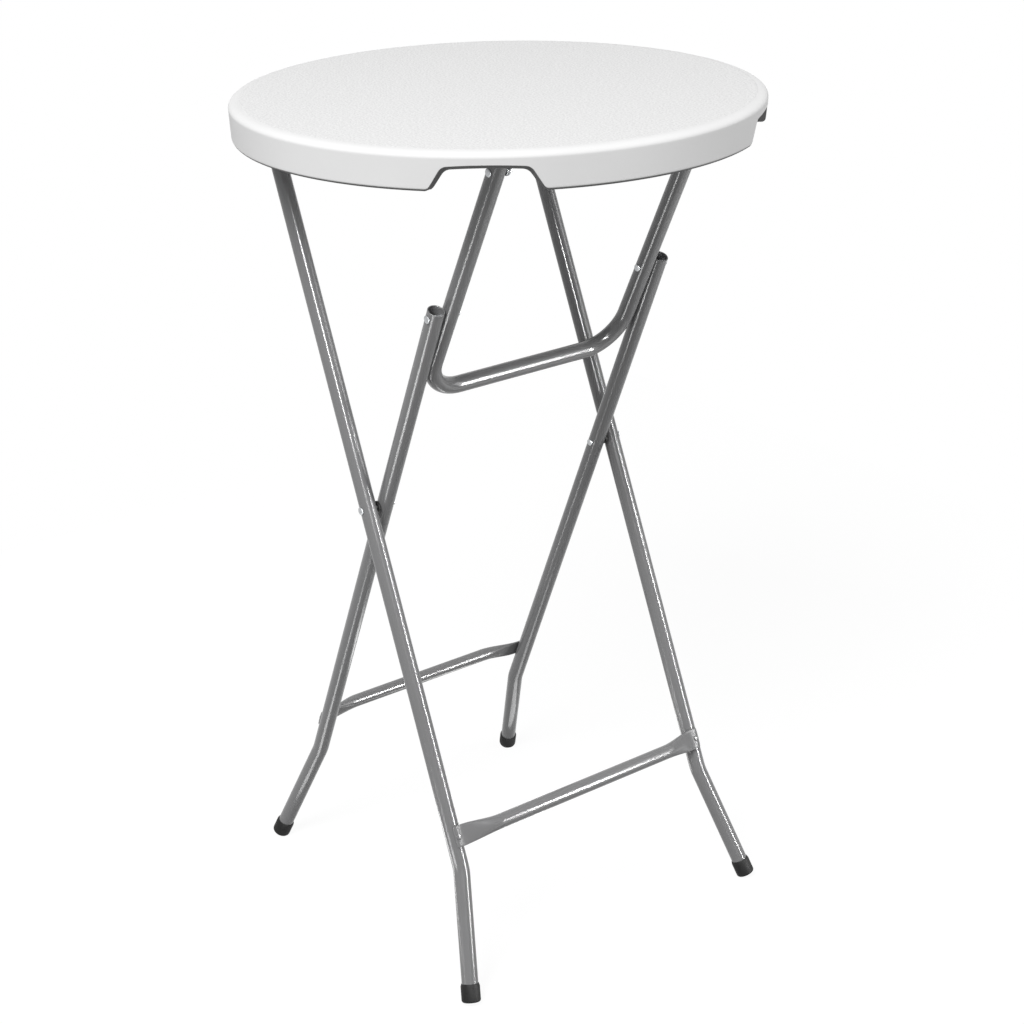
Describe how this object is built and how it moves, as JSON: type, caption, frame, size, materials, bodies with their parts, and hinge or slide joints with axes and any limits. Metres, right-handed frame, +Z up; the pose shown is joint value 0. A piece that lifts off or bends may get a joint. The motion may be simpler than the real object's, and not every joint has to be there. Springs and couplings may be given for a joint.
{
  "type": "folding reception table",
  "caption": "Round standing-height folding table: moulded top with a deep skirt on crossed steel tube legs, which a U-shaped brace holds open.",
  "frame": {"origin": "on the floor, under the middle of the table top", "axes": "+Z up; +X towards the feet of the outer legs, which hinge to the top at -X; Y along the hinge pins, with the right-hand pieces at +Y"},
  "size_m": [0.65, 0.65, 1.1],
  "materials": {
    "white_plastic": "white blow-moulded polyethylene with a fine pebbled grain",
    "grey_paint": "glossy grey powder coat on steel tube",
    "black_plastic": "black moulded plastic",
    "zinc_steel": "bright zinc-plated steel"
  },
  "bodies": {
    "table_top": {"brace_hinge_bolt_left": "zinc_steel", "brace_hinge_bolt_right": "zinc_steel", "brace_hinge_bracket_left": "zinc_steel", "brace_hinge_bracket_right": "zinc_steel", "brace_hinge_nut_left": "zinc_steel", "brace_hinge_nut_right": "zinc_steel", "brace_hinge_screw_left_1": "zinc_steel", "brace_hinge_screw_left_2": "zinc_steel", "brace_hinge_screw_right_1": "zinc_steel", "brace_hinge_screw_right_2": "zinc_steel", "brace_hinge_washer_left": "zinc_steel", "brace_hinge_washer_right": "zinc_steel", "leg_hinge_bracket_left": "zinc_steel", "leg_hinge_bracket_right": "zinc_steel", "leg_hinge_nut_left": "zinc_steel", "leg_hinge_nut_right": "zinc_steel", "leg_hinge_screw_left_1": "zinc_steel", "leg_hinge_screw_left_2": "zinc_steel", "leg_hinge_screw_right_1": "zinc_steel", "leg_hinge_screw_right_2": "zinc_steel", "leg_hinge_stud_left": "zinc_steel", "leg_hinge_stud_right": "zinc_steel", "leg_hinge_washer_left": "zinc_steel", "leg_hinge_washer_right": "zinc_steel", "table_top": "white_plastic"},
    "outer_frame": {"leg_hinge_bolt_left": "zinc_steel", "leg_hinge_bolt_right": "zinc_steel", "outer_crossbar": "grey_paint", "outer_crossbar_rivet_left": "grey_paint", "outer_crossbar_rivet_right": "grey_paint", "outer_foot_cap_left": "black_plastic", "outer_foot_cap_right": "black_plastic", "outer_leg_left": "grey_paint", "outer_leg_right": "grey_paint"},
    "inner_frame": {"crossing_rivet_left": "zinc_steel", "crossing_rivet_right": "zinc_steel", "crossing_spacer_left": "black_plastic", "crossing_spacer_right": "black_plastic", "inner_crossbar": "grey_paint", "inner_crossbar_rivet_left": "grey_paint", "inner_crossbar_rivet_right": "grey_paint", "inner_foot_cap_left": "black_plastic", "inner_foot_cap_right": "black_plastic", "inner_leg_left": "grey_paint", "inner_leg_right": "grey_paint"},
    "brace": {"folding_brace": "grey_paint", "knee_rivet_left": "zinc_steel", "knee_rivet_right": "zinc_steel"}
  },
  "joints": [
    {"name": "brace_fold", "type": "hinge", "parent": "table_top", "child": "brace", "pos_m": [0.1937, 0, 1.0595], "axis": [0, 1, 0], "range_deg": [0, 62.52]},
    {"name": "inner_leg_fold", "type": "hinge", "parent": "brace", "child": "inner_frame", "pos_m": [0.0966, 0, 0.87067], "axis": [0, -1, 0], "range_deg": [0, 175.94]},
    {"name": "outer_leg_fold", "type": "hinge", "parent": "inner_frame", "child": "outer_frame", "pos_m": [-0.02719, 0, 0.5946], "axis": [0, 1, 0], "range_deg": [0, 46.39]}
  ],
  "couplings": [
    {"joint": "inner_leg_fold", "follows": "brace_fold", "ratio": 2.8133},
    {"joint": "outer_leg_fold", "follows": "brace_fold", "ratio": 0.74165}
  ]
}
